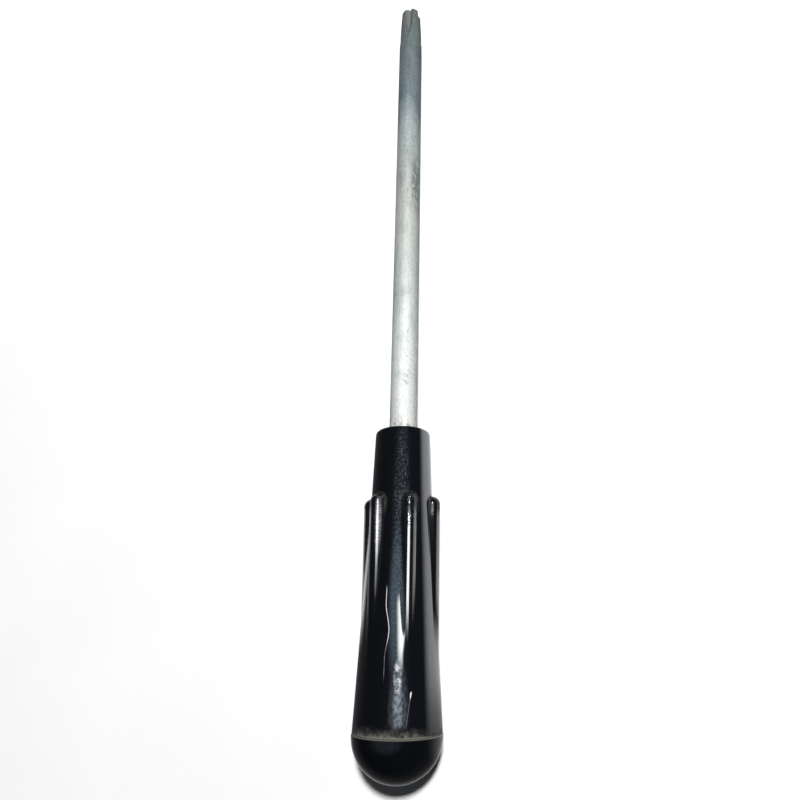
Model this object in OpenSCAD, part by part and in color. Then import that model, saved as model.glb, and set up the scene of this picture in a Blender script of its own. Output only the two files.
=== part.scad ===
// Cross-head screwdriver with a round plated blade, a ribbed moulded handle and a domed butt cap.
// The tool axis is Y, with the tip toward +Y and the butt toward -Y.
// The origin is on the axis, at the front face of the handle where the blade comes out.

/* [Blade] */
// Diameter of the round blade
shank_d = 8; // [7:0.25:9]
// Length of blade that shows, from the handle's front face to the end of the tip
blade_reach = 162.5; // [120:0.5:220]
// Bevel on the hidden end of the tang
tang_bevel = 1; // [0.4:0.1:2]

/* [Cross tip] */
// Length of the tapered tip, from its shoulder to its end
tip_l = 16.5; // [15.5:0.5:24]
// Depth of the shoulder step between the blade and the tip
shoulder_step = 0.15; // [0.05:0.05:0.3]
// How far the tip's radius drops between the shoulder and the steep point
tip_drop = 0.2; // [0.05:0.05:0.4]
// Length of the steep point
point_l = 7; // [4:0.5:10]
// Diameter over the four wings just behind the end bevel
point_d = 6.8; // [5.2:0.1:7]
// Length of the bevel round the end
end_bevel_l = 1.2; // [0.4:0.1:2]
// Diameter of the flat end
end_d = 4.4; // [3.8:0.1:4.8]
// Length of the four milled flutes, measured from the end of the tip
flute_l = 14.5; // [12:0.25:15.5]
// Diameter of the core that the flutes leave at the end of the tip
core_d = 3.4; // [2:0.1:3.6]
// Angle between the two flanks of a flute
flute_angle = 92; // [84:1:100]
// Width of the flat at the root of a flute
flute_root_w = 0.6; // [0.2:0.05:1]

/* [Tang] */
// Depth of the step where the blade seats on the handle's front face
tang_step = 0.2; // [0.1:0.05:0.4]
// Length of the tang inside the handle
tang_l = 52; // [44:1:58]
// Length of the pinched ears that stop the tang turning
ear_l = 18; // [10:1:22]
// How far each ear stands out from the round of the tang
ear_reach = 2; // [1:0.1:2.4]
// Thickness of the pinched section
ear_t = 4; // [3:0.1:5]
// Length of the slope at each end of an ear
ear_slope = 3; // [1:0.5:4]
// Distance from the end of the tang to the ears
ear_setback = 6; // [4:0.5:10]

/* [Handle] */
// Length of the moulded handle from its front face to the seam of the cap
body_l = 77.5; // [72:0.5:100]
// Diameter at the front of the smooth neck
neck_front_d = 15.5; // [14.5:0.1:17]
// Diameter where the neck meets the ribbed grip
neck_root_d = 16.7; // [16:0.1:18]
// Length of the smooth neck
neck_l = 19; // [12:0.5:24]
// Radius of the rounded front edge
front_round = 1.2; // [0.4:0.1:2]
// Diameter of the handle at the seam
seam_d = 22.6; // [21.6:0.1:24]
// Bevel on the edge of the handle at the seam
seam_bevel = 0.3; // [0.1:0.05:0.5]

/* [Ribs] */
// Number of grip ribs
rib_count = 6; // [4:1:8]
// Width of one round-backed rib
rib_w = 4.2; // [3:0.1:4.8]
// Diameter over the crests at the front end of the ribs
rib_crest_d = 21.7; // [20.6:0.1:23]
// Length over which the ribs stand out before they sink into the grip
rib_l = 41; // [34:0.5:46]
// How far the buried end of a rib carries on inside the grip
rib_run_in = 6; // [4:0.5:9]

/* [Butt cap] */
// Diameter of the domed cap
cap_d = 22.9; // [22:0.1:24.5]
// Height of the cap behind the seam
cap_h = 11.4; // [9:0.1:14]
// Straight land of the cap next to the seam
cap_land = 0.5; // [0.4:0.1:2.4]
// Wall left at the top of the dome where the cap is cored out
cap_wall = 2.4; // [1.6:0.1:3]
// Bevel on the edge of the cap at the seam
cap_bevel = 0.2; // [0.1:0.05:0.3]
// Diameter of the spigot that seats in the handle
spigot_d = 15; // [13:0.25:17]
// Length of the spigot
spigot_l = 9; // [6:0.5:12]
// Wall of the tubular spigot
spigot_wall = 2.2; // [1.5:0.1:3]
// Bevel on the leading edge of the spigot
spigot_bevel = 0.8; // [0.3:0.1:1.2]

/* [Fits] */
// Clearance round the tang in its socket
tang_gap = 0.02; // [0.01:0.01:0.1]
// Clearance round the spigot in its bore
spigot_gap = 0.03; // [0.01:0.01:0.1]
// Room left past the end of the spigot
spigot_end_gap = 0.5; // [0.2:0.1:1]

/* [Hidden] */
$fn = 96;

// A cut reaches this far past the surface that it opens
past = 1;

shank_r = shank_d / 2;
shoulder_z = blade_reach - tip_l;
point_z = blade_reach - point_l;
bevel_z = blade_reach - end_bevel_l;
shoulder_r = shank_r - shoulder_step;
point_root_r = shoulder_r - tip_drop;

// Radius of the tip at a distance from its end, between the shoulder and the steep point
function tip_r(from_end) = point_root_r
    + tip_drop * (from_end - point_l) / (tip_l - shoulder_step - point_l);

// The flutes are cut by a wheel that is level with the end of the tip and rises out of the tip at flute_l
core_r = core_d / 2;
flute_rise = tip_r(flute_l) - core_r;
wheel_r = (flute_l * flute_l + flute_rise * flute_rise) / (2 * flute_rise);
wheel_depth = shank_r + past;
wheel_half_w = flute_root_w / 2 + wheel_depth * tan(flute_angle / 2);

// The ears lie between two shallow hollows that the pinching dies leave in the tang
tang_r = shank_r - tang_step;
ear_z = -tang_l + ear_setback + ear_l / 2;
pinch_depth = tang_r - ear_t / 2;
pinch_r = (ear_l * ear_l / 4 + pinch_depth * pinch_depth) / (2 * pinch_depth);

// Radius of the plain grip at a distance behind the front face
function grip_r(behind) = neck_root_d / 2
    + (seam_d - neck_root_d) / 2 * (behind - neck_l) / (body_l - neck_l);

// Each rib is a straight round-ended rod whose crest sinks below the grip at the end of rib_l
rib_r = rib_w / 2;
rib_front = [rib_crest_d / 2 - rib_r, -neck_l - rib_r];
rib_end = [grip_r(neck_l + rib_l) - rib_r, -neck_l - rib_l];
rib_tilt = atan2(rib_front.x - rib_end.x, rib_front.y - rib_end.y);
rib_rod_l = norm(rib_front - rib_end) + rib_run_in;

cap_r = cap_d / 2;
cap_land_z = -body_l - cap_land;
dome_h = cap_h - cap_land;
spigot_r = spigot_d / 2;
spigot_end_z = -body_l + spigot_l;

// The cap is cored out through its spigot, down to the wall left at the top of the dome
cap_core_r = spigot_r - spigot_wall;
cap_core_z = -body_l - cap_h + cap_wall + cap_core_r;

// Turns what is drawn along Z so that it lies along Y, tip toward +Y
module along_tool() {
    rotate([-90, 0, 0]) children();
}

// Half section of the blade, from the end of the tang to the end of the tip
module blade_section() {
    polygon([
        [0, -tang_l],
        [tang_r - tang_bevel, -tang_l],
        [tang_r, -tang_l + tang_bevel],
        [tang_r, 0],
        [shank_r, 0],
        [shank_r, shoulder_z],
        [shoulder_r, shoulder_z + shoulder_step],
        [point_root_r, point_z],
        [point_d / 2, bevel_z],
        [end_d / 2, blade_reach],
        [0, blade_reach]
    ]);
}

// Rim of the milling wheel that leaves one flute
module flute_cutter() {
    translate([core_r + wheel_r, 0, blade_reach])
        rotate([90, 0, 0])
            rotate_extrude()
                polygon([
                    [wheel_r, -flute_root_w / 2],
                    [wheel_r, flute_root_w / 2],
                    [wheel_r - wheel_depth, wheel_half_w],
                    [wheel_r - wheel_depth, -wheel_half_w]
                ]);
}

// Flat plate that makes both ears, grown by the room asked for
module ear_plate(room) {
    half_w = tang_r + ear_reach + room;
    half_l = ear_l / 2 + room;
    translate([0, 0, ear_z])
        rotate([90, 0, 0])
            linear_extrude(ear_t + 2 * room, center = true)
                polygon([
                    [-half_w, -half_l + ear_slope],
                    [-ear_t / 2, -half_l],
                    [ear_t / 2, -half_l],
                    [half_w, -half_l + ear_slope],
                    [half_w, half_l - ear_slope],
                    [ear_t / 2, half_l],
                    [-ear_t / 2, half_l],
                    [-half_w, half_l - ear_slope]
                ]);
}

// The two hollows that the dies press into the tang
module pinch_hollows(room) {
    for (side = [-1, 1])
        translate([0, side * (ear_t / 2 + pinch_r), ear_z])
            rotate([0, 90, 0])
                cylinder(r = pinch_r - room, h = shank_d + 2 * past, center = true);
}

// Room that the tang takes up in the handle
module tang_socket() {
    difference() {
        translate([0, 0, -tang_l - tang_gap])
            cylinder(r = tang_r + tang_gap, h = tang_l + tang_gap + past);
        pinch_hollows(tang_gap);
    }
    ear_plate(tang_gap);
}

// Half section of the handle without its ribs
module grip_section() {
    polygon([
        [0, -body_l],
        [seam_d / 2 - seam_bevel, -body_l],
        [seam_d / 2, -body_l + seam_bevel],
        [neck_root_d / 2, -neck_l],
        [neck_front_d / 2, -front_round],
        [neck_front_d / 2 - front_round, 0],
        [0, 0]
    ]);
    translate([neck_front_d / 2 - front_round, -front_round])
        circle(r = front_round);
}

// Round rod along Z that ends in a half ball centred on the origin
module round_ended_rod(r, l) {
    rotate_extrude()
        intersection() {
            union() {
                translate([0, -l]) square([r, l]);
                circle(r = r);
            }
            translate([0, -l]) square([r, l + r]);
        }
}

// One grip rib, drawn on the +X side of the grip
module rib() {
    translate([rib_front.x, 0, rib_front.y])
        rotate([0, rib_tilt, 0])
            round_ended_rod(rib_r, rib_rod_l);
}

// Half section of the cap and its spigot before the cap is hollowed
module cap_section() {
    translate([0, cap_land_z])
        intersection() {
            scale([1, dome_h / cap_r]) circle(r = cap_r);
            translate([0, -dome_h]) square([cap_r, dome_h]);
        }
    polygon([
        [0, cap_land_z - dome_h / 2],
        [cap_r / 2, cap_land_z - dome_h / 2],
        [cap_r, cap_land_z],
        [cap_r, -body_l - cap_bevel],
        [cap_r - cap_bevel, -body_l],
        [spigot_r, -body_l],
        [spigot_r, spigot_end_z - spigot_bevel],
        [spigot_r - spigot_bevel, spigot_end_z],
        [0, spigot_end_z]
    ]);
}

// Steel blade: tang with pinched ears, round shank and fluted cross tip
module blade() {
    color("silver")
        along_tool() {
            difference() {
                rotate_extrude() blade_section();
                for (turn = [0:90:270])
                    rotate([0, 0, turn]) flute_cutter();
                pinch_hollows(0);
            }
            ear_plate(0);
        }
}

// Moulded handle: smooth neck, ribbed grip, socket for the tang and bore for the cap
module handle_body() {
    color([0.04, 0.04, 0.05])
        along_tool()
            difference() {
                union() {
                    rotate_extrude() grip_section();
                    for (i = [0:rib_count - 1])
                        rotate([0, 0, (i + 0.5) * 360 / rib_count - 90]) rib();
                }
                tang_socket();
                translate([0, 0, -body_l - past])
                    cylinder(d = spigot_d + 2 * spigot_gap, h = spigot_l + spigot_end_gap + past);
            }
}

// Domed cap that closes the butt of the handle
module end_cap() {
    color([0.05, 0.05, 0.06])
        along_tool()
            difference() {
                rotate_extrude() cap_section();
                translate([0, 0, cap_core_z])
                    mirror([0, 0, 1])
                        round_ended_rod(cap_core_r, spigot_end_z - cap_core_z + past);
            }
}

blade();
handle_body();
end_cap();
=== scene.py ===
"""Looks of the cross-head screwdriver: fine meshes for its solids, materials, floor, lamps and camera.

Shapes are worked out in millimetres along the tool axis, Y, which points to the tip, and are
written in metres. An angle round the axis starts at the top, +Z, and grows toward +X.
"""

import math

import bpy
import numpy as np
from mathutils import Matrix, Vector


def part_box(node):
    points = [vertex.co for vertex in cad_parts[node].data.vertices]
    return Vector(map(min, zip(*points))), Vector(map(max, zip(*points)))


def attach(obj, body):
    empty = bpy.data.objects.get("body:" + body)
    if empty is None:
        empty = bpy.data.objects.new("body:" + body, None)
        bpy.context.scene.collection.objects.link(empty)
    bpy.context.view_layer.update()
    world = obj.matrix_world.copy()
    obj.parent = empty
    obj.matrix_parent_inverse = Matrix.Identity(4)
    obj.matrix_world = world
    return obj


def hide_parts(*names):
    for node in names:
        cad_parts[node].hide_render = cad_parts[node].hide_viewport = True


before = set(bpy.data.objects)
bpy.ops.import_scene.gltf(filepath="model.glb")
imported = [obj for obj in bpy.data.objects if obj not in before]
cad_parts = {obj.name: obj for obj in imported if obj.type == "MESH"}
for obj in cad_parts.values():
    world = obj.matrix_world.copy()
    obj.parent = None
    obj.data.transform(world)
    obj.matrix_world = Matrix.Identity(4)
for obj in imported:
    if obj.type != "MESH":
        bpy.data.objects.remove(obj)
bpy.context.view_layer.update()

MM = 0.001


def box_mm(node):
    """Lowest and highest corner of a solid, in millimetres."""
    low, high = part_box(node)
    return np.array(low) / MM, np.array(high) / MM


# Sizes that the frame gives
blade_low, blade_high = box_mm("blade")
body_low, body_high = box_mm("handle_body")
cap_low, cap_high = box_mm("end_cap")
BLADE_REACH = blade_high[1]
TANG_L = -blade_low[1]
SHANK_R = blade_high[2]
EAR_HALF_W = blade_high[0]
BODY_L = -body_low[1]
SEAM_R = body_high[0]
CAP_R = cap_high[0]
CAP_END = cap_low[1]
SPIGOT_END = cap_high[1]

# Blade and tip
TANG_STEP = 0.2
TANG_BEVEL = 1.0
TIP_L = 16.5
SHOULDER_STEP = 0.15
TIP_DROP = 0.2
POINT_L = 7.0
POINT_R = 3.4
END_BEVEL_L = 1.2
END_R = 2.2
TIP_EDGE = 0.3
FLUTE_L = 14.5
FLUTE_COUNT = 4
CORE_R = 1.7
FLUTE_HALF_ANGLE = math.radians(46)
FLUTE_ROOT_W = 0.6
WING_EDGE = 0.12

# Tang
EAR_L = 18.0
EAR_T = 4.0
EAR_SLOPE = 3.0
EAR_SETBACK = 6.0
TANG_GAP = 0.02

# Handle
NECK_FRONT_R = 7.75
NECK_ROOT_R = 8.35
NECK_L = 19.0
FRONT_ROUND = 1.2
SEAM_BEVEL = 0.3
BUTT_EDGE = 0.1

# Ribs, and the low ripples across their front ends
RIB_COUNT = 6
RIB_R = 2.1
RIB_CREST_R = 10.85
RIB_L = 41.0
RIB_RUN_IN = 6.0
RIB_FILLET = 0.45
FIRST_RIB = math.radians(30)
RIPPLE_H = 0.032
RIPPLE_PITCH = 0.9
RIPPLE_START = 0.6
RIPPLE_L = 8.0
RIPPLE_FADE = 2.5
RIPPLE_FOOT = 0.9
RIPPLE_RISE = 0.8

# Butt cap
CAP_LAND = 0.5
CAP_WALL = 2.4
CAP_BEVEL = 0.2
CAP_EDGE = 0.12
SPIGOT_R = 7.5
SPIGOT_WALL = 2.2
SPIGOT_BEVEL = 0.8
SPIGOT_GAP = 0.03
SPIGOT_END_GAP = 0.5

# Fineness of the meshes: points round the axis, rings of points, or the longest step between rings.
# A lead or a run-out is how far the fine rings reach past the form that needs them.
BLADE_SIDES = 360
TANG_RING_STEP = 0.75
SHANK_RING_STEP = 3.0
TIP_RING_STEP = 0.15
TIP_LEAD = 2.0
TIP_END_RINGS = 8
HANDLE_SIDES = 384
SOCKET_RINGS = 48
FRONT_RINGS = 10
NECK_RINGS = 14
RIB_FRONT_RINGS = 90
RIB_LEAD = 2.5
RIB_RUN_OUT = 1.0
GRIP_RINGS = 70
BUTT_RING_STEP = 1.5
CAP_SIDES = 240
CORE_RINGS = 14
CORE_START = 0.06
WALL_RING_STEP = 1.2
DOME_RINGS = 56
EDGE_SHARE = 0.4
SHARP_EDGE = math.radians(40)

# Searches for a surface: how far outside it they start, and how they close in on it
PAST = 1.0
HALVINGS = 30
STEPS_IN = 70
STEP_SHARE = 0.85

TANG_R = SHANK_R - TANG_STEP
SHOULDER_Y = BLADE_REACH - TIP_L
SHOULDER_R = SHANK_R - SHOULDER_STEP
POINT_ROOT_R = SHOULDER_R - TIP_DROP
EAR_Y = -TANG_L + EAR_SETBACK + EAR_L / 2
SOCKET_END = -TANG_L - TANG_GAP
BORE_END = SPIGOT_END + SPIGOT_END_GAP
CAP_LAND_Y = -BODY_L - CAP_LAND

# Marks on the finish and places of painted light: a place along the tool and in degrees round it,
# then how far it reaches along the tool and in degrees round it
TARNISH = (84, 66, 13, 46)
BROWN_MARK = (15, 21, 2.6, 24)
# Painted light on the handle: sheen, a highlight streak, glints, and scuff lines painted as a
# highlight
SHEEN_HALO = (-46, 13, 24, 16)
HIGHLIGHT_STREAK = (-71, 17.5, 12, 15)
HIGHLIGHT_STREAK_CORE = (-70, 17, 13, 7)
NECK_SHEEN = (-20, 16, 28, 19)
SPECK_GLINTS = (-24, 15, 34, 19)
SCUFF_HIGHLIGHT = (-26, -20.8, 12, 4.6)
GLINT_TRAIL = (-64, 16, 5, 6.5)
CHATTER = (-20, 28, 10, 30)
SMUDGE = (-BODY_L - 1, 3, 2.6, 24)

# Stretches that a mark covers: where it starts, is full, is still full and ends
# Stretch of the blade where its left side is painted lighter, as if lit from the left
LEFT_LIGHT_STRETCH = (50, 72, 96, 112)
RUBBED_STRETCH = (-44.0, -48.0, -57.0, -64.0)
LEFT_RIB_SPAN = [math.radians(angle) for angle in (-4, -12, -52, -60)]

# Fine mould line in the valley on top of the grip: the stretch it covers, where it bends,
# its first angle and its two swings
LINE_STRETCH = (-42.5, -44.5, -61.0, -66.0)
LINE_BENDS = (-47.0, -53.6, -60.0)
LINE_ANGLE = math.radians(-3.4)
LINE_SWING_OUT = math.radians(5.7)
LINE_SWING_BACK = math.radians(4.8)

# Long scratch near the seam: its front end, the stretch it covers from there, its angle there
# and how far it slants in each millimetre
SCRATCH_FRONT = -67.5
SCRATCH_STRETCH = (-0.3, 0.2, 6.5, 8.0)
SCRATCH_ANGLE = math.radians(33.6)
SCRATCH_SLANT = math.radians(0.88)

# Colours of the plate along the blade, from the handle, 0, to the tip, 1
PLATE_TONES = [
    (0.00, (0.76, 0.77, 0.75)),
    (0.14, (0.73, 0.75, 0.73)),
    (0.23, (0.64, 0.68, 0.66)),
    (0.32, (0.56, 0.59, 0.57)),
    (0.42, (0.51, 0.54, 0.51)),
    (0.52, (0.46, 0.47, 0.44)),
    (0.62, (0.40, 0.445, 0.43)),
    (0.69, (0.36, 0.41, 0.41)),
    (0.75, (0.18, 0.22, 0.24)),
    (0.86, (0.175, 0.21, 0.215)),
    (0.92, (0.16, 0.19, 0.195)),
    (1.00, (0.15, 0.165, 0.16)),
]

# Colours that darken the plate, by multiplying it; the last is painted shade down the sides
CLOUD_SHADE = (0.80, 0.83, 0.84, 1)
STREAK_SHADE = (0.84, 0.86, 0.86, 1)
MOTTLE_SHADE = (0.74, 0.76, 0.78, 1)
PAINTED_SIDE_SHADE = (0.34, 0.38, 0.37, 1)

# Colours of the marks on the blade
TARNISH_COLOUR = (0.115, 0.15, 0.16, 1)
BROWN_COLOUR = (0.28, 0.23, 0.20, 1)
ROOT_STAIN_COLOUR = (0.17, 0.13, 0.10, 1)
SPECK_COLOUR = (0.20, 0.22, 0.21, 1)
# Painted highlight for the floors of the flutes near the tip
FLUTE_LIGHT_COLOUR = (0.26, 0.275, 0.26, 1)
PIT_COLOUR = (0.14, 0.14, 0.13, 1)

# Colours of the handle and the cap
HANDLE_BLACK = (0.0042, 0.0047, 0.0065, 1)
# Painted sheen: bluish black for the right-hand side of the handle
SHEEN_BLUE_BLACK = (0.0045, 0.009, 0.016, 1)
HANDLE_SHEEN = (0.72, 0.88, 1.0, 1)
# Painted light: the next five colours paint sheen, a highlight streak, glints and highlit scuffs
SHEEN_HALO_COLOUR = (0.15, 0.21, 0.26, 1)
HIGHLIGHT_STREAK_COLOUR = (0.24, 0.275, 0.315, 1)
NECK_SHEEN_COLOUR = (0.15, 0.18, 0.22, 1)
SPECK_GLINT_COLOUR = (0.40, 0.45, 0.52, 1)
SCUFF_HIGHLIGHT_COLOUR = (0.70, 0.71, 0.78, 1)
LINE_COLOUR = (0.76, 0.77, 0.80, 1)
SCRATCH_COLOUR = (0.80, 0.80, 0.82, 1)
DUST_COLOUR = (0.135, 0.135, 0.117, 1)
SEAM_DUST_COLOUR = (0.30, 0.30, 0.26, 1)
CAP_BLACK = (0.0035, 0.004, 0.0055, 1)
CAP_MARK_COLOUR = (0.2, 0.2, 0.21, 1)
SMUDGE_COLOUR = (0.035, 0.041, 0.05, 1)
CAP_DUST_COLOUR = (0.14, 0.14, 0.12, 1)

# Floor, its radius in metres
FLOOR_R = 0.75
FLOOR_SIDES = 160
FLOOR_TONES = ((0.95, 0.95, 0.95, 1), (0.97, 0.97, 0.97, 1))

# Camera, as the outline in the photograph places it
IMAGE_SIDE = 800
FOCAL_PX = 640.5
CAMERA_TILT = math.radians(19.46)
CAMERA_TURN = math.radians(2.88)
CAMERA_ROLL = math.radians(1.123)
CAMERA_AWAY = 177.4
CAMERA_FOOT = -52.7
CAMERA_SIDE = math.radians(17)
OFFSET_X_PX = 36.06
OFFSET_Y_PX = 0.7
SENSOR = 36.0
CLIP_START = 0.01

# Lamps: degrees about the tool axis and toward the tip, distance and size in metres, power in watts
KEY_LAMP = {"side": 18, "lean": 4.5, "away": 1.2, "width": 0.7, "length": 0.3, "power": 4.5}
HIGH_LAMP = {"side": 15, "lean": 19.5, "away": 1.2, "width": 0.1, "length": 0.1, "power": 17}

# World: its colour, its strength at the horizon and overhead, and the height at which it is dim
SKY_COLOUR = (0.90, 0.96, 1.05, 1)
HORIZON_STRENGTH = 0.35
OVERHEAD_STRENGTH = 0.03
DIM_HEIGHT = 0.2


def mesh_piece(name, node, material, rings, start_y, end_y):
    """Closed piece from rings of points round the axis, with a point on the axis at each end.

    rings has one row of points, in millimetres, for each step along the surface from start to end.
    """
    count, sides = rings.shape[:2]
    ends = np.array([[0, start_y, 0], [0, end_y, 0]])
    points = np.concatenate([rings.reshape(-1, 3), ends]) * MM
    corner = np.arange(count * sides).reshape(count, sides)
    beside = np.roll(corner, -1, axis=1)
    walls = np.stack([corner[:-1], corner[1:], beside[1:], beside[:-1]], axis=-1).reshape(-1, 4)
    first = count * sides
    faces = walls.tolist()
    faces += [(first, a, b) for a, b in zip(corner[0].tolist(), beside[0].tolist())]
    faces += [(first + 1, b, a) for a, b in zip(corner[-1].tolist(), beside[-1].tolist())]
    mesh = bpy.data.meshes.new(name)
    mesh.from_pydata(points.tolist(), [], faces)
    mesh.validate()
    mesh.shade_smooth()
    mesh.set_sharp_from_angle(angle=SHARP_EDGE)
    mesh.materials.append(material)
    piece = bpy.data.objects.new(name, mesh)
    bpy.context.scene.collection.objects.link(piece)
    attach(piece, "root")
    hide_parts(node)


def rings_at(radius, y, angle):
    """Points at a radius and a place along the axis, for each angle round it."""
    radius, y, angle = np.broadcast_arrays(radius, y, angle)
    return np.stack([radius * np.sin(angle), y, radius * np.cos(angle)], axis=-1)


def angles(sides):
    """Angles round the axis, evenly spaced from the top."""
    return np.linspace(0, math.tau, sides, endpoint=False)


def soft_min(a, b, width):
    """The lesser of two values, rounded over where they are within width of each other."""
    near = np.maximum(width - np.abs(a - b), 0) / width
    return np.minimum(a, b) - near * near * width / 4


def rounded(outline, reach, steps=5):
    """An outline whose inner corners are cut back by reach, or less on a short edge, and curved."""
    outline = np.array(outline, dtype=float)
    made = [outline[0]]
    for before, corner, after in zip(outline, outline[1:], outline[2:]):
        back, on = before - corner, after - corner
        start = corner + back * min(reach / np.linalg.norm(back), EDGE_SHARE)
        end = corner + on * min(reach / np.linalg.norm(on), EDGE_SHARE)
        for t in np.linspace(0, 1, steps):
            made.append(start * (1 - t) ** 2 + corner * 2 * t * (1 - t) + end * t * t)
    made.append(outline[-1])
    return np.array(made)


def divided(outline, step):
    """An outline with points added so that no edge is longer than step."""
    outline = np.array(outline, dtype=float)
    made = [outline[:1]]
    for a, b in zip(outline, outline[1:]):
        parts = max(1, math.ceil(np.linalg.norm(b - a) / step))
        share = np.arange(1, parts + 1)[:, None] / parts
        made.append(a + (b - a) * share)
    return np.concatenate(made)


def tang_radius(angle, y, room):
    """Outline of the tang and its two ears, grown by the room asked for."""
    across = np.maximum(np.abs(np.sin(angle)), 1e-6)
    up = np.maximum(np.abs(np.cos(angle)), 1e-6)
    depth = TANG_R - EAR_T / 2
    die_r = (EAR_L**2 / 4 + depth**2) / (2 * depth)
    off = np.abs(y - EAR_Y)
    hollow = EAR_T / 2 + die_r - np.sqrt(np.maximum((die_r - room) ** 2 - off**2, 0))
    round_part = np.minimum(TANG_R + room, hollow / up)
    half_l = EAR_L / 2 + room
    half_w = np.interp(off, [half_l - EAR_SLOPE, half_l], [EAR_HALF_W + room, EAR_T / 2])
    ears = np.minimum(half_w / across, (EAR_T / 2 + room) / up)
    return np.where(off < half_l, np.maximum(round_part, ears), round_part)


def flute_radius(angle, y):
    """How far out the steel goes before the nearest flute, cut by a wheel level with the tip's end."""
    pitch = math.tau / FLUTE_COUNT
    turn = np.abs((angle + pitch / 2) % pitch - pitch / 2)
    slope = TIP_DROP / (TIP_L - SHOULDER_STEP - POINT_L)
    rise = POINT_ROOT_R + slope * (FLUTE_L - POINT_L) - CORE_R
    wheel_r = (FLUTE_L**2 + rise**2) / (2 * rise)
    from_end = BLADE_REACH - y
    low = np.zeros(np.broadcast(turn, y).shape)
    high = low + SHANK_R + PAST
    for _ in range(HALVINGS):
        middle = (low + high) / 2
        reach = np.hypot(CORE_R + wheel_r - middle * np.cos(turn), from_end)
        width = FLUTE_ROOT_W / 2 + (wheel_r - reach) * math.tan(FLUTE_HALF_ANGLE)
        cut = middle * np.sin(turn) < width
        high = np.where(cut, middle, high)
        low = np.where(cut, low, middle)
    return high


def blade_rings():
    """Rings along the blade: tang with its ears, plain shank, fluted tip and flat end."""
    angle = angles(BLADE_SIDES)
    tang = [[-TANG_L, TANG_R - TANG_BEVEL], [-TANG_L + TANG_BEVEL, TANG_R], [0, TANG_R]]
    tang = divided(tang, TANG_RING_STEP)
    eared = tang_radius(angle, tang[:, :1], 0)
    in_ears = np.abs(tang[:, :1] - EAR_Y) < EAR_L / 2
    tang_rings = np.where(in_ears, eared, np.minimum(tang[:, 1:], eared))
    lead_y = SHOULDER_Y - TIP_LEAD
    shank = divided([[0, SHANK_R], [lead_y, SHANK_R]], SHANK_RING_STEP)
    outline = [
        [lead_y, SHANK_R],
        [SHOULDER_Y, SHANK_R],
        [SHOULDER_Y + SHOULDER_STEP, SHOULDER_R],
        [BLADE_REACH - POINT_L, POINT_ROOT_R],
        [BLADE_REACH - END_BEVEL_L, POINT_R],
        [BLADE_REACH, END_R],
    ]
    tip = divided(rounded(outline, TIP_EDGE), TIP_RING_STEP)[1:]
    tip_rings = soft_min(tip[:, 1:], flute_radius(angle, tip[:, :1]), WING_EDGE)
    share = np.linspace(0.97, 0.1, TIP_END_RINGS)[:, None]
    end_rings = share * tip_rings[-1]
    radius = np.concatenate([tang_rings, np.tile(shank[:, 1:], BLADE_SIDES), tip_rings, end_rings])
    y = np.concatenate([tang[:, 0], shank[:, 0], tip[:, 0], np.full(TIP_END_RINGS, BLADE_REACH)])
    return rings_at(radius, y[:, None], angle)


def grip_radius(y):
    """Radius of the handle between the ribs, which flares from the neck to the seam."""
    return np.interp(-y, [0, NECK_L, BODY_L], [NECK_FRONT_R, NECK_ROOT_R, SEAM_R])


def rib_distance(turn, y, radius):
    """Distance from the nearest rib, a straight rod with a ball end, at a turn from its own plane."""
    front = np.array([RIB_CREST_R - RIB_R, -NECK_L - RIB_R])
    sunk = np.array([grip_radius(-NECK_L - RIB_L) - RIB_R, -NECK_L - RIB_L])
    along = (sunk - front) / np.linalg.norm(sunk - front)
    length = np.linalg.norm(sunk - front) + RIB_RUN_IN
    out = radius * np.cos(turn) - front[0]
    back = y - front[1]
    step = np.clip(out * along[0] + back * along[1], 0, length)
    in_plane = (out - step * along[0]) ** 2 + (back - step * along[1]) ** 2
    return np.sqrt(in_plane + (radius * np.sin(turn)) ** 2) - RIB_R


def handle_radius(angle, y):
    """Outside of the handle: the plain grip and its ribs, run together by a small fillet.

    Each point moves in from outside by most of its distance from the surface, until it lies on it.
    """
    pitch = math.tau / RIB_COUNT
    turn = (angle - FIRST_RIB + pitch / 2) % pitch - pitch / 2
    radius = np.full(np.broadcast(turn, y).shape, SEAM_R + PAST)
    for _ in range(STEPS_IN):
        gap = soft_min(radius - grip_radius(y), rib_distance(turn, y, radius), RIB_FILLET)
        radius -= STEP_SHARE * gap
    return radius


def ripple(angle, y, radius):
    """Low uneven ripples across the front ends of the ribs, different on each rib."""
    behind = -y - NECK_L
    on_rib = np.clip((radius - grip_radius(y) - RIPPLE_FOOT) / RIPPLE_RISE, 0, 1)
    fade = np.clip((RIPPLE_L - behind) / RIPPLE_FADE, 0, 1) * np.clip(behind - RIPPLE_START, 0, 1)
    rib = np.floor(angle / (math.tau / RIB_COUNT))
    wander = 1.6 * np.sin(1.7 * behind + 2.1 * rib) + 0.9 * np.sin(4.3 * behind + 5.3 * rib)
    swell = 0.6 + 0.4 * np.sin(2.3 * behind + 3.7 * rib)
    return RIPPLE_H * on_rib * fade * swell * np.sin(math.tau * behind / RIPPLE_PITCH + wander)


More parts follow.
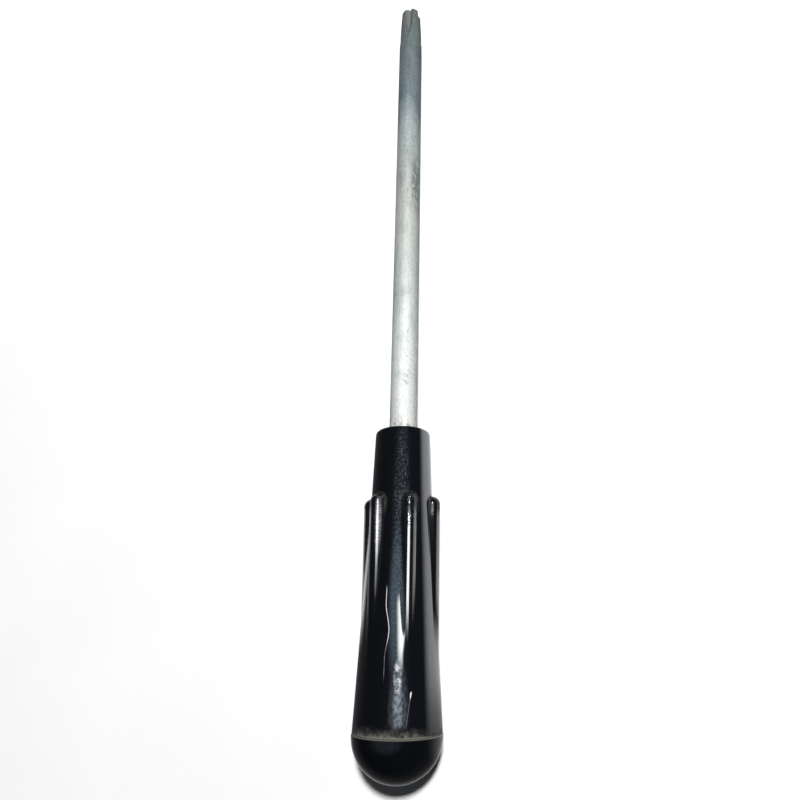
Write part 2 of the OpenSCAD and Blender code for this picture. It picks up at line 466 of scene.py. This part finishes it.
def handle_rings():
    """Rings out of the tang's socket, along the outside of the handle and into the cap's bore."""
    angle = angles(HANDLE_SIDES)
    socket_y = np.linspace(-TANG_L + TANG_BEVEL, 0, SOCKET_RINGS)
    socket_y = np.concatenate([[SOCKET_END], socket_y])[:, None]
    socket = tang_radius(angle, socket_y, TANG_GAP)
    turn = np.linspace(0, math.pi / 2, FRONT_RINGS)
    front_y = FRONT_ROUND * (np.cos(turn) - 1)
    front = NECK_FRONT_R + FRONT_ROUND * (np.sin(turn) - 1)
    ribs_from = -NECK_L + RIB_LEAD
    ribs_to = -NECK_L - RIPPLE_L - RIB_RUN_OUT
    neck_y = np.linspace(-FRONT_ROUND, ribs_from, NECK_RINGS)[1:]
    rib_front_y = np.linspace(ribs_from, ribs_to, RIB_FRONT_RINGS)[1:]
    grip_y = np.linspace(ribs_to, -BODY_L + SEAM_BEVEL, GRIP_RINGS)[1:]
    outer_y = np.concatenate([neck_y, rib_front_y, grip_y])[:, None]
    outer = handle_radius(angle, outer_y)
    outer = outer + ripple(angle, outer_y, outer)
    bore_r = SPIGOT_R + SPIGOT_GAP
    butt = [
        [-BODY_L + SEAM_BEVEL, SEAM_R],
        [-BODY_L, SEAM_R - SEAM_BEVEL],
        [-BODY_L, bore_r],
        [BORE_END, bore_r],
        [BORE_END, bore_r / 4],
    ]
    butt = divided(rounded(butt, BUTT_EDGE, 3), BUTT_RING_STEP)[1:]
    front = np.tile(front[:, None], HANDLE_SIDES)
    radius = np.concatenate([socket, front, outer, np.tile(butt[:, 1:], HANDLE_SIDES)])
    y = np.concatenate([socket_y[:, 0], front_y, outer_y[:, 0], butt[:, 0]])
    return rings_at(radius, y[:, None], angle)


def cap_rings():
    """Rings out of the hollow core, over the spigot and the rim, and to the end of the dome."""
    core_r = SPIGOT_R - SPIGOT_WALL
    core_y = CAP_END + CAP_WALL + core_r
    turn = np.linspace(CORE_START, math.pi / 2, CORE_RINGS)
    core = np.stack([core_y - core_r * np.cos(turn), core_r * np.sin(turn)], axis=-1)
    wall = [
        [core_y, core_r],
        [SPIGOT_END, core_r],
        [SPIGOT_END, SPIGOT_R - SPIGOT_BEVEL],
        [SPIGOT_END - SPIGOT_BEVEL, SPIGOT_R],
        [-BODY_L, SPIGOT_R],
        [-BODY_L, CAP_R - CAP_BEVEL],
        [-BODY_L - CAP_BEVEL, CAP_R],
        [CAP_LAND_Y, CAP_R],
    ]
    wall = divided(rounded(wall, CAP_EDGE, 4), WALL_RING_STEP)[1:]
    turn = np.linspace(0, math.pi / 2, DOME_RINGS)[1:-1]
    dome_h = CAP_LAND_Y - CAP_END
    dome = np.stack([CAP_LAND_Y - dome_h * np.sin(turn), CAP_R * np.cos(turn)], axis=-1)
    outline = np.concatenate([core, wall, dome])
    return rings_at(outline[:, 1:], outline[:, :1], angles(CAP_SIDES))


class Surface:
    """A material, with short calls that add its nodes. Places are in millimetres."""

    def __init__(self, name):
        self.material = bpy.data.materials.new(name)
        self.material.use_nodes = True
        self.tree = self.material.node_tree
        self.shader = self.tree.nodes["Principled BSDF"]
        coordinates = self.node("ShaderNodeTexCoord").outputs["Object"]
        inputs = {0: coordinates, "Scale": 1 / MM}
        self.place = self.node("ShaderNodeVectorMath", inputs, operation="SCALE").outputs[0]
        self.x, self.y, self.z = self.node("ShaderNodeSeparateXYZ", {0: self.place}).outputs
        self.angle = self.math("ARCTAN2", self.x, self.z)
        self.radius = self.distance(self.x, self.z)

    def node(self, kind, inputs=None, **settings):
        """Adds a node. Each of its inputs takes another node's output or a value."""
        made = self.tree.nodes.new(kind)
        for key, value in settings.items():
            setattr(made, key, value)
        for key, value in (inputs or {}).items():
            self.put(made.inputs[key], value)
        return made

    def put(self, socket, value):
        if isinstance(value, bpy.types.NodeSocket):
            self.tree.links.new(value, socket)
        else:
            socket.default_value = value

    def set(self, **values):
        """Sets the shader's sockets, with _ for a space in a name."""
        for key, value in values.items():
            self.put(self.shader.inputs[key.replace("_", " ")], value)

    def math(self, operation, *values):
        made = self.node("ShaderNodeMath", dict(enumerate(values)), operation=operation)
        return made.outputs[0]

    def plus(self, a, b):
        return self.math("ADD", a, b)

    def minus(self, a, b):
        return self.math("SUBTRACT", a, b)

    def most(self, first, *others):
        """The greatest of some values."""
        for other in others:
            first = self.math("MAXIMUM", first, other)
        return first

    def times(self, first, *others):
        for other in others:
            first = self.math("MULTIPLY", first, other)
        return first

    def distance(self, a, b):
        """How far two steps at right angles lead together."""
        return self.math("SQRT", self.plus(self.times(a, a), self.times(b, b)))

    def fade(self, value, start, end, low=0.0, high=1.0):
        """Goes smoothly from low, where value is at start, to high, where it is at end."""
        inputs = {0: value, 1: start, 2: end, 3: low, 4: high}
        made = self.node("ShaderNodeMapRange", inputs, interpolation_type="SMOOTHSTEP")
        return made.outputs[0]

    def band(self, value, start, full, still_full, end):
        """1 between full and still_full, fading to 0 at start and at end."""
        return self.times(self.fade(value, start, full), self.fade(value, end, still_full))

    def blend(self, share, a, b, how="MIX"):
        """Colour a where share is 0. Where it is 1, colour b, or a times b for MULTIPLY."""
        made = self.node("ShaderNodeMix", {0: share, 6: a, 7: b}, data_type="RGBA", blend_type=how)
        return made.outputs[2]

    def ramp(self, value, stops):
        """A colour that changes along value, from 0 to 1. Each stop is a place and a colour."""
        made = self.node("ShaderNodeValToRGB", {0: value})
        elements = made.color_ramp.elements
        while len(elements) < len(stops):
            elements.new(0.5)
        for element, (place, colour) in zip(elements, stops):
            element.position = place
            element.color = (*colour, 1)
        return made.outputs[0]

    def noise(self, size, detail=3.0, stretch=(1, 1, 1), shift=0.0):
        """Noise from 0 to 1 whose lumps are about size across, times stretch along each axis."""
        scale = tuple(1 / (size * s) for s in stretch)
        inputs = {"Vector": self.place, "Scale": scale, "Location": (shift, 0, shift)}
        vector = self.node("ShaderNodeMapping", inputs).outputs[0]
        made = self.node("ShaderNodeTexNoise", {"Vector": vector, "Scale": 1.0, "Detail": detail})
        return made.outputs[0]

    def spots(self, pitch, size, share):
        """1 in round spots of about the given size, in this share of the cells of a random grid."""
        cells = self.node("ShaderNodeTexVoronoi", {"Vector": self.place, "Scale": 1 / pitch})
        draw = self.node("ShaderNodeSeparateColor", {0: cells.outputs["Color"]}).outputs[0]
        near = self.fade(cells.outputs["Distance"], size / pitch, 0.4 * size / pitch)
        return self.times(near, self.math("LESS_THAN", draw, share))

    def patch(self, y, angle, reach_y, reach_angle):
        """1 at a place on the tool, fading out over the given reaches along it and round it."""
        along = self.math("DIVIDE", self.minus(self.y, y), reach_y)
        turn = self.minus(self.angle, math.radians(angle))
        round_it = self.math("DIVIDE", turn, math.radians(reach_angle))
        return self.fade(self.distance(along, round_it), 1.0, 0.35)

    def beside(self, path):
        """Distance round the surface from a path, which is an angle that changes along the tool."""
        return self.times(self.math("ABSOLUTE", self.minus(self.angle, path)), self.radius)

    def bump(self, height, distance, strength=1.0, after=None):
        """Leans the surface as if it stood out by height times distance, over an earlier bump."""
        inputs = {"Height": height, "Distance": distance * MM, "Strength": strength}
        if after is not None:
            inputs["Normal"] = after
        return self.node("ShaderNodeBump", inputs).outputs[0]


def plate_colour(s, cloud, ragged):
    """Plate that is pale by the handle and duller toward the tip, with painted shade down its sides,
    less on part of the left.
    """
    drift = s.times(s.minus(s.noise(9.0, 4), 0.5), 18.0)
    # Painted shade: away from the top the plate takes tones from further along, toward the darker tip
    aside = s.minus(1.0, s.math("COSINE", s.minus(s.angle, math.radians(9))))
    creep = s.plus(drift, s.times(aside, 10.0))
    colour = s.ramp(s.math("DIVIDE", s.plus(s.y, creep), BLADE_REACH), PLATE_TONES)
    colour = s.blend(s.fade(cloud, 0.45, 0.75), colour, CLOUD_SHADE, "MULTIPLY")
    streaks = s.noise(0.5, 3, stretch=(1, 14, 1), shift=3)
    colour = s.blend(s.fade(streaks, 0.45, 0.75), colour, STREAK_SHADE, "MULTIPLY")
    mottle = s.noise(0.6, 4, stretch=(1, 1.6, 1), shift=21)
    mottled = s.times(s.fade(mottle, 0.4, 0.7), s.fade(s.y, 60, 115, 0.55, 1.0))
    colour = s.blend(mottled, colour, MOTTLE_SHADE, "MULTIPLY")
    # Painted light on a stretch of the left side, and painted shade down both sides
    painted_left_light = s.times(s.fade(s.angle, 0.0, math.radians(-20)), s.band(s.y, *LEFT_LIGHT_STRETCH))
    painted_side_shade = s.times(s.fade(aside, 0.08, 0.78), s.fade(ragged, 0.2, 0.6, 0.7, 1.0))
    painted_side_shade = s.times(painted_side_shade, s.minus(1.0, s.times(painted_left_light, 0.6)))
    return s.blend(s.times(painted_side_shade, 0.85), colour, PAINTED_SIDE_SHADE, "MULTIPLY")


def blade_material():
    """Satin zinc plate, pale by the handle, tarnished blue and worn to grey steel at the tip, with
    painted shade and light.
    """
    s = Surface("aged_zinc_plate")
    cloud = s.noise(3.5, 5, stretch=(1, 2.2, 1), shift=7)
    ragged = s.noise(1.3, 5, stretch=(1, 1.8, 1), shift=11)
    tarnish = s.times(s.patch(*TARNISH), s.fade(ragged, 0.34, 0.54))
    brown = s.times(s.patch(*BROWN_MARK), s.fade(s.noise(1.1, 5, shift=31), 0.46, 0.60))
    root_stain = s.times(s.fade(s.y, 5.5, 1.0), s.fade(ragged, 0.47, 0.62))
    crowded = s.fade(s.noise(5.0, 2, shift=13), 0.36, 0.56)
    specks = s.times(s.spots(0.8, 0.21, 0.55), crowded, s.fade(s.y, 105, 50))
    # Painted highlight: the floors of the flutes near the tip are painted lighter, as if lit
    painted_flute_light = s.times(s.fade(s.radius, 3.1, 2.2), s.fade(s.y, BLADE_REACH - 12, BLADE_REACH - 9))
    pits = s.times(s.spots(2.3, 0.28, 0.45), s.fade(s.y, 95, 40))
    marks = [
        (tarnish, 0.85, TARNISH_COLOUR),
        (brown, 0.7, BROWN_COLOUR),
        (root_stain, 0.55, ROOT_STAIN_COLOUR),
        (specks, 0.7, SPECK_COLOUR),
        (painted_flute_light, 0.6, FLUTE_LIGHT_COLOUR),
        (pits, 0.7, PIT_COLOUR),
    ]
    colour = plate_colour(s, cloud, ragged)
    for mark, strength, mark_colour in marks:
        colour = s.blend(s.times(mark, strength), colour, mark_colour)
    drawn = s.noise(0.16, 2, stretch=(1, 60, 1), shift=5)
    normal = s.bump(drawn, 0.006, 0.6)
    normal = s.bump(s.noise(0.7, 4, shift=2), 0.02, 0.35, normal)
    normal = s.bump(s.minus(1.0, pits), 0.03, 0.5, normal)
    rough = s.plus(0.64, s.times(cloud, 0.14))
    s.set(Base_Color=colour, Metallic=0.4, Roughness=rough, Normal=normal, Specular_IOR_Level=0.15)
    return s.material


class HandleSurface(Surface):
    """The handle's material, with the places on the handle that its marks are worked out from.

    behind_front is the distance behind the front ends of the ribs.
    from_seam is the distance in front of the cap's seam.
    """

    def __init__(self, name):
        super().__init__(name)
        inputs = {0: self.y, 1: -NECK_L, 2: -BODY_L, 3: NECK_ROOT_R, 4: SEAM_R}
        grip = self.node("ShaderNodeMapRange", inputs).outputs[0]
        self.on_rib = self.fade(self.minus(self.radius, grip), 0.2, 0.9)
        self.off_rib = self.minus(1.0, self.on_rib)
        self.rib_edge = self.from_rib_edge()
        self.behind_front = self.minus(-NECK_L, self.y)
        self.from_seam = self.plus(self.y, BODY_L)
        self.side = self.math("DIVIDE", self.x, self.radius)
        self.speckle = self.noise(0.5, 4, stretch=(1, 1.3, 1))

    def from_rib_edge(self):
        """Distance along the surface from the edge of the nearest rib's outline, in millimetres."""
        pitch = math.tau / RIB_COUNT
        turn = self.minus(self.angle, FIRST_RIB - pitch / 2)
        turn = self.minus(self.math("FLOORED_MODULO", turn, pitch), pitch / 2)
        ahead = self.most(self.plus(self.y, NECK_L + RIB_R), 0.0)
        return self.minus(self.distance(self.times(turn, self.radius), ahead), RIB_R)


def mould_path(s):
    """Angle at which a fine wandering line runs along the valley on top of the grip."""
    first, middle, last = LINE_BENDS
    swing_out = s.fade(s.y, first, middle, 0, LINE_SWING_OUT)
    swing_back = s.fade(s.y, middle, last, 0, LINE_SWING_BACK)
    return s.plus(s.minus(swing_out, swing_back), LINE_ANGLE)


def mould_line(s, path):
    """1 along the fine line in the valley, fainter toward the butt and broken here and there."""
    ends = s.band(s.y, *LINE_STRETCH)
    faint = s.fade(s.y, -57.5, -55.0, 0.3, 1.0)
    broken = s.fade(s.noise(2.2, 2, shift=4), 0.35, 0.55, 0.45, 1.0)
    return s.times(s.fade(s.beside(path), 0.12, 0.04), ends, faint, broken)


def long_scratch(s):
    """1 along one slanting scratch near the seam, deepest at its front end."""
    behind = s.minus(SCRATCH_FRONT, s.y)
    path = s.minus(SCRATCH_ANGLE, s.times(behind, SCRATCH_SLANT))
    width = s.fade(behind, 0.0, 1.6, 0.26, 0.12)
    ends = s.band(behind, *SCRATCH_STRETCH)
    depth = s.times(ends, s.fade(behind, 0.8, 1.8, 1.0, 0.12))
    return s.times(s.fade(s.math("DIVIDE", s.beside(path), width), 1.0, 0.4), depth)


def valley_colour(s):
    """Black, with painted sheen, streak and glints, scuffs painted as a highlight, and lines on top of
    the grip.
    """
    path = mould_path(s)
    past_line = s.fade(s.minus(s.angle, path), math.radians(-0.3), math.radians(1.6))
    # Painted sheen: a bluish halo round the highlight in the valley
    sheen_halo = s.times(s.patch(*SHEEN_HALO), past_line, s.fade(s.speckle, 0.3, 0.7, 0.55, 1.0), s.off_rib)
    # Painted highlight: a broken streak that carries the rubbed highlight on toward the seam
    streaked = s.fade(s.noise(0.6, 4, stretch=(1, 2, 1), shift=5), 0.3, 0.7, 0.25, 1.0)
    highlight_streak = s.plus(s.times(s.patch(*HIGHLIGHT_STREAK), 0.3), s.times(s.patch(*HIGHLIGHT_STREAK_CORE), 0.65))
    highlight_streak = s.times(highlight_streak, streaked, s.fade(s.from_seam, 1.6, 3.4))
    # Painted sheen: a speckled bluish band along the top of the neck and grip
    neck_sheen = s.times(s.patch(*NECK_SHEEN), s.fade(s.speckle, 0.4, 0.75), s.off_rib)
    # Painted glints: small bright spots in the sheen along the top
    specks = s.times(s.spots(0.6, 0.13, 0.4), s.patch(*SPECK_GLINTS), s.off_rib)
    # Scuff lines on the front of the left rib, painted bright where its highlight falls
    scuff_highlight_lines = s.fade(s.noise(0.35, 2, stretch=(6, 1, 6), shift=19), 0.35, 0.65, 0.3, 1.0)
    scuff = s.times(s.patch(*SCUFF_HIGHLIGHT), scuff_highlight_lines, s.fade(s.behind_front, 0.5, 2.5))
    colour = s.blend(s.times(sheen_halo, 0.36), HANDLE_BLACK, SHEEN_HALO_COLOUR)
    colour = s.blend(highlight_streak, colour, HIGHLIGHT_STREAK_COLOUR)
    colour = s.blend(s.times(neck_sheen, 0.3), colour, NECK_SHEEN_COLOUR)
    colour = s.blend(s.times(specks, 0.6), colour, SPECK_GLINT_COLOUR)
    colour = s.blend(s.times(scuff, 0.42), colour, SCUFF_HIGHLIGHT_COLOUR)
    colour = s.blend(mould_line(s, path), colour, LINE_COLOUR)
    return s.blend(long_scratch(s), colour, SCRATCH_COLOUR)


def rib_dust(s):
    """Dust round the front ends of the ribs."""
    ragged = s.noise(0.8, 5, stretch=(1, 2.5, 1), shift=9)
    near = s.times(s.fade(s.rib_edge, 1.1, 0.1), s.fade(s.behind_front, 7.0, 1.0))
    return s.times(near, s.fade(ragged, 0.35, 0.65, 0.1, 1.0), s.off_rib)


def seam_dust(s):
    """Dust packed along the seam, with a ragged edge and a thinner dusting beyond it."""
    wisps = s.noise(1.4, 1.5, shift=15)
    ragged_edge = s.plus(s.from_seam, s.times(s.minus(wisps, 0.5), 3.0))
    dusting = s.times(s.fade(ragged_edge, 2.7, 0.4), s.fade(s.speckle, 0.35, 0.65, 0.2, 0.6))
    return s.most(s.fade(ragged_edge, 1.2, 0.3), dusting)


def rubbed_top(s):
    """1 where the top of the grip is rubbed smooth, in a slanting patch with glints behind it."""
    slant = s.plus(s.side, s.times(s.plus(s.y, 46.0), 0.003))
    worn_edge = s.plus(slant, s.fade(s.y, -54.0, -60.0, 0.0, 0.05))
    across = s.times(s.fade(slant, 0.19, 0.30), s.fade(worn_edge, 0.41, 0.36))
    rubbed = s.times(s.band(s.y, *RUBBED_STRETCH), across)
    glints = s.fade(s.noise(0.9, 3, shift=3), 0.42, 0.66)
    return s.most(rubbed, s.times(glints, s.patch(*GLINT_TRAIL), 0.75))


def rubbed_ribs(s):
    """1 on the crests of the ribs, less at their front ends and along the left one."""
    crest = s.most(s.fade(s.rib_edge, -0.15, -0.5), s.fade(s.behind_front, 6.0, 2.0))
    left_rib = s.band(s.angle, *LEFT_RIB_SPAN)
    left_wear = s.minus(1.0, s.times(left_rib, s.fade(s.behind_front, 8.0, 21.0, 0.0, 0.72)))
    front_wear = s.fade(s.behind_front, 3.0, 6.0, 0.3, 1.0)
    return s.times(s.on_rib, crest, front_wear, left_wear)


def held_polish_and_sheen(s):
    """1 along the right-hand side of the handle, polished where it is held and painted with a bluish
    sheen.
    """
    beside_ribs = s.most(s.fade(s.rib_edge, 0.1, 0.5), s.fade(s.y, -48.0, -58.0))
    return s.times(s.fade(s.side, 0.78, 0.92), s.fade(s.y, -60.0, -76.0, 1.0, 0.35), beside_ribs)


def held_left(s):
    """1 along the left-hand side of the handle, narrower toward the seam."""
    wide = s.times(s.fade(s.side, -0.70, -0.82), s.fade(s.y, -60.0, -46.0))
    held = s.most(wide, s.fade(s.side, -0.86, -0.97, 0.0, 0.8))
    return s.times(held, s.fade(s.behind_front, 1.0, 5.0), s.fade(s.from_seam, 0.5, 6.0))


def handle_material():
    """Black moulding: ribs rubbed to a polish, dull and speckled between, painted sheen on top, dust
    in corners.
    """
    s = HandleSurface("black_moulding")
    halo = rib_dust(s)
    packed = seam_dust(s)
    right = held_polish_and_sheen(s)
    upward = s.fade(s.math("DIVIDE", s.z, s.radius), 0.5, 1.0, 0.22, 0.95)
    colour = s.blend(s.times(halo, 0.4), valley_colour(s), DUST_COLOUR)
    colour = s.blend(s.times(packed, upward), colour, DUST_COLOUR)
    colour = s.blend(s.fade(s.from_seam, 0.4, 0.25), colour, SEAM_DUST_COLOUR)
    # Painted sheen: the right side is tinted blue, like the reflection along it
    colour = s.blend(right, colour, SHEEN_BLUE_BLACK)
    dust = s.math("MINIMUM", s.plus(packed, s.times(halo, 0.6)), 1.0)
    polish = s.most(rubbed_ribs(s), rubbed_top(s), right, held_left(s))
    rough = s.plus(0.28, s.times(s.off_rib, 0.17))
    scratch = s.noise(0.09, 2, stretch=(1, 45, 1), shift=6)
    normal = s.bump(s.times(s.speckle, s.off_rib), 0.1, 0.7)
    normal = s.bump(scratch, 0.003, 0.3, normal)
    chatter = s.noise(1.2, 1, stretch=(1, 0.3, 1), shift=17)
    chatter = s.times(chatter, s.on_rib, s.patch(*CHATTER))
    s.set(Base_Color=colour, Roughness=rough, Normal=normal, IOR=1.08, Specular_Tint=HANDLE_SHEEN)
    s.set(Coat_Weight=s.times(polish, s.minus(1.0, dust)), Coat_Roughness=0.1, Coat_IOR=2.2)
    s.set(Coat_Normal=s.bump(chatter, 0.22))
    return s.material


def cap_material():
    """The same moulding on the cap, with dust on its edge at the seam and a few scuffs on the dome."""
    s = Surface("black_cap")
    edge = s.fade(s.y, -BODY_L - 0.3, -BODY_L - 0.15)
    scuff = s.noise(0.25, 3, stretch=(1, 5, 1), shift=2)
    mark = s.times(s.fade(scuff, 0.62, 0.8), s.fade(s.noise(4.0, 3, shift=8), 0.5, 0.75))
    smudge = s.times(s.patch(*SMUDGE), s.fade(s.noise(0.5, 3, shift=4), 0.3, 0.7, 0.5, 1.0))
    colour = s.blend(s.times(mark, 0.15), CAP_BLACK, CAP_MARK_COLOUR)
    colour = s.blend(s.times(smudge, 0.3), colour, SMUDGE_COLOUR)
    colour = s.blend(s.times(edge, 0.9), colour, CAP_DUST_COLOUR)
    right = s.fade(s.math("DIVIDE", s.x, CAP_R), 0.80, 1.0)
    handled = s.times(right, s.fade(s.y, -BODY_L - 7, -BODY_L - 2), 0.5)
    rough = s.plus(0.14, s.times(edge, 0.5))
    s.set(Base_Color=colour, Roughness=rough, Normal=s.bump(scuff, 0.003, 0.3), IOR=1.06)
    s.set(Coat_Weight=handled, Coat_Roughness=0.12, Coat_IOR=1.5)
    return s.material


def floor_material():
    """Pale matt floor, a little cloudy in tone."""
    s = Surface("pale_floor")
    grain = s.fade(s.noise(40.0, 3), 0.3, 0.7)
    s.set(Base_Color=s.blend(grain, *FLOOR_TONES), Roughness=0.8, Specular_IOR_Level=0.1)
    return s.material


def make_camera():
    """Camera above the handle, on its +X side, tilted toward the tip and turned to the right."""
    out = Vector((math.sin(CAMERA_SIDE), 0, math.cos(CAMERA_SIDE)))
    tip = Vector((0, 1, 0))
    forward = math.sin(CAMERA_TILT) * tip - math.cos(CAMERA_TILT) * out
    up = math.cos(CAMERA_TILT) * tip + math.sin(CAMERA_TILT) * out
    right = forward.cross(up)
    level = Matrix((right, up, -forward)).transposed()
    data = bpy.data.cameras.new("camera")
    data.sensor_width = SENSOR
    data.lens = FOCAL_PX / IMAGE_SIDE * SENSOR
    data.shift_x = -OFFSET_X_PX / IMAGE_SIDE
    data.shift_y = OFFSET_Y_PX / IMAGE_SIDE
    data.clip_start = CLIP_START
    camera = bpy.data.objects.new("camera", data)
    turned = level @ Matrix.Rotation(-CAMERA_TURN, 3, "Y") @ Matrix.Rotation(CAMERA_ROLL, 3, "Z")
    place = (Vector((0, CAMERA_FOOT, 0)) + CAMERA_AWAY * out) * MM
    camera.matrix_world = Matrix.LocRotScale(place, turned.to_quaternion(), None)
    bpy.context.scene.collection.objects.link(camera)
    bpy.context.scene.camera = camera


def make_floor():
    """Flat round floor that the rim of the cap and the shoulder of the tip rest on."""
    rear = Vector((0, CAP_LAND_Y, -CAP_R))
    front = Vector((0, SHOULDER_Y, -SHANK_R))
    turn = angles(FLOOR_SIDES)
    rim = np.stack([np.cos(turn), np.sin(turn), np.zeros(FLOOR_SIDES)], axis=-1) * FLOOR_R
    mesh = bpy.data.meshes.new("floor")
    mesh.from_pydata(rim.tolist(), [], [list(range(FLOOR_SIDES))])
    mesh.materials.append(floor_material())
    floor = bpy.data.objects.new("floor", mesh)
    floor.location = rear * MM
    floor.rotation_euler = (math.atan2(front.z - rear.z, front.y - rear.y), 0, 0)
    bpy.context.scene.collection.objects.link(floor)


def make_lamp(name, side, lean, away, width, length, power, diffuse=True):
    """Soft rectangular lamp aimed at the handle, turned about the tool axis and toward the tip.

    Without diffuse it only gives highlights, as a reflecting card does.
    """
    side, lean = math.radians(side), math.radians(lean)
    level = math.cos(lean)
    out = Vector((math.sin(side) * level, math.sin(lean), math.cos(side) * level))
    across = Vector((0, 1, 0)).cross(out).normalized()
    facing = Matrix((across, out.cross(across), out)).transposed()
    place = Vector((0, CAMERA_FOOT, 0)) * MM + out * away
    data = bpy.data.lights.new(name, "AREA")
    data.shape = "RECTANGLE"
    data.size = width
    data.size_y = length
    data.energy = power
    lamp = bpy.data.objects.new(name, data)
    lamp.matrix_world = Matrix.LocRotScale(place, facing.to_quaternion(), None)
    lamp.visible_camera = False
    lamp.visible_diffuse = diffuse
    bpy.context.scene.collection.objects.link(lamp)


def make_world():
    """Pale round the horizon and dim overhead, so that black stays black from above."""
    world = bpy.data.worlds.new("studio")
    world.use_nodes = True
    tree = world.node_tree
    background = tree.nodes["Background"]
    direction = tree.nodes.new("ShaderNodeTexCoord")
    split = tree.nodes.new("ShaderNodeSeparateXYZ")
    strength = tree.nodes.new("ShaderNodeMapRange")
    strength.interpolation_type = "SMOOTHSTEP"
    strength.inputs["From Min"].default_value = 0.0
    strength.inputs["From Max"].default_value = DIM_HEIGHT
    strength.inputs["To Min"].default_value = HORIZON_STRENGTH
    strength.inputs["To Max"].default_value = OVERHEAD_STRENGTH
    background.inputs["Color"].default_value = SKY_COLOUR
    tree.links.new(direction.outputs["Generated"], split.inputs[0])
    tree.links.new(split.outputs["Z"], strength.inputs["Value"])
    tree.links.new(strength.outputs["Result"], background.inputs["Strength"])
    bpy.context.scene.world = world


mesh_piece(
    "blade_visual", "blade", blade_material(), blade_rings(),
    start_y=-TANG_L, end_y=BLADE_REACH,
)
mesh_piece(
    "handle_visual", "handle_body", handle_material(), handle_rings(),
    start_y=SOCKET_END, end_y=BORE_END,
)
mesh_piece(
    "cap_visual", "end_cap", cap_material(), cap_rings(),
    start_y=CAP_END + CAP_WALL, end_y=CAP_END,
)
make_floor()
make_camera()
make_lamp("key", **KEY_LAMP, diffuse=False)
make_lamp("high", **HIGH_LAMP)
make_world()
bpy.context.scene.view_settings.view_transform = "Standard"
